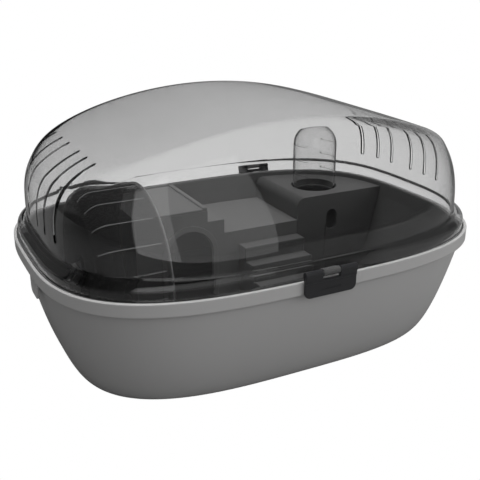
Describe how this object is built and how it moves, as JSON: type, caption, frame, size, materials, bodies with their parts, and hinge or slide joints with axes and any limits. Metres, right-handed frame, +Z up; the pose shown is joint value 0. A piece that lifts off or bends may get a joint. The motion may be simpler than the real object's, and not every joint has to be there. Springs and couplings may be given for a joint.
{
  "type": "hamster cage",
  "caption": "Small-animal cage: oval tub with dark liner, hinged clear domed lid with vent slots, running wheel, house, steps and lookout tube.",
  "frame": {"origin": "middle of the tub's underside, in the plane that the cage stands on", "axes": "+X along the cage's length, towards the tower; +Y towards the rear hinges; +Z up; the latch faces -Y"},
  "size_m": [0.556, 0.4186, 0.3029],
  "materials": {
    "tub_grey": "fine satin moulded plastic, warm mid grey",
    "liner_dark": "satin anthracite moulded plastic",
    "clear_smoke": "clear moulded plastic with a faint grey tint, polished",
    "wheel_smoke": "smoke-tinted clear moulded plastic, polished",
    "clip_black": "black satin plastic",
    "bush_white": "natural bearing plastic",
    "pin_steel": "drawn bright steel"
  },
  "bodies": {
    "tub": {"base_tub": "tub_grey", "inner_tray": "liner_dark", "house_block": "liner_dark", "house_roof": "liner_dark", "stair_block": "liner_dark", "tower_block": "liner_dark", "wheel_stand": "liner_dark", "stand_screws": "pin_steel", "wheel_axle": "pin_steel", "axle_washer": "pin_steel", "axle_screw": "pin_steel", "hinge_clip_left": "clip_black", "hinge_clip_right": "clip_black", "hinge_pin_left": "pin_steel", "hinge_pin_right": "pin_steel"},
    "lid": {"lid_dome": "clear_smoke"},
    "latch": {"latch_clip": "clip_black", "latch_pin": "pin_steel"},
    "wheel": {"wheel_drum": "wheel_smoke", "wheel_hub": "clip_black", "hub_bush": "bush_white"},
    "lookout": {"lookout_tube": "clear_smoke"}
  },
  "joints": [
    {"name": "lid_hinge", "type": "hinge", "parent": "tub", "child": "lid", "pos_m": [0, 0.2035, 0.1506], "axis": [-1, 0, 0], "range_deg": [0, 95]},
    {"name": "latch_flip", "type": "hinge", "parent": "lid", "child": "latch", "pos_m": [0, -0.2075, 0.1506], "axis": [-1, 0, 0], "range_deg": [0, 100]},
    {"name": "wheel_spin", "type": "hinge", "parent": "tub", "child": "wheel", "pos_m": [-0.175, 0, 0.11], "axis": [1, 0, 0], "continuous": true},
    {"name": "lookout_lift", "type": "slide", "parent": "tub", "child": "lookout", "axis": [0, 0, 1], "range_m": [0, 0.01]}
  ]
}
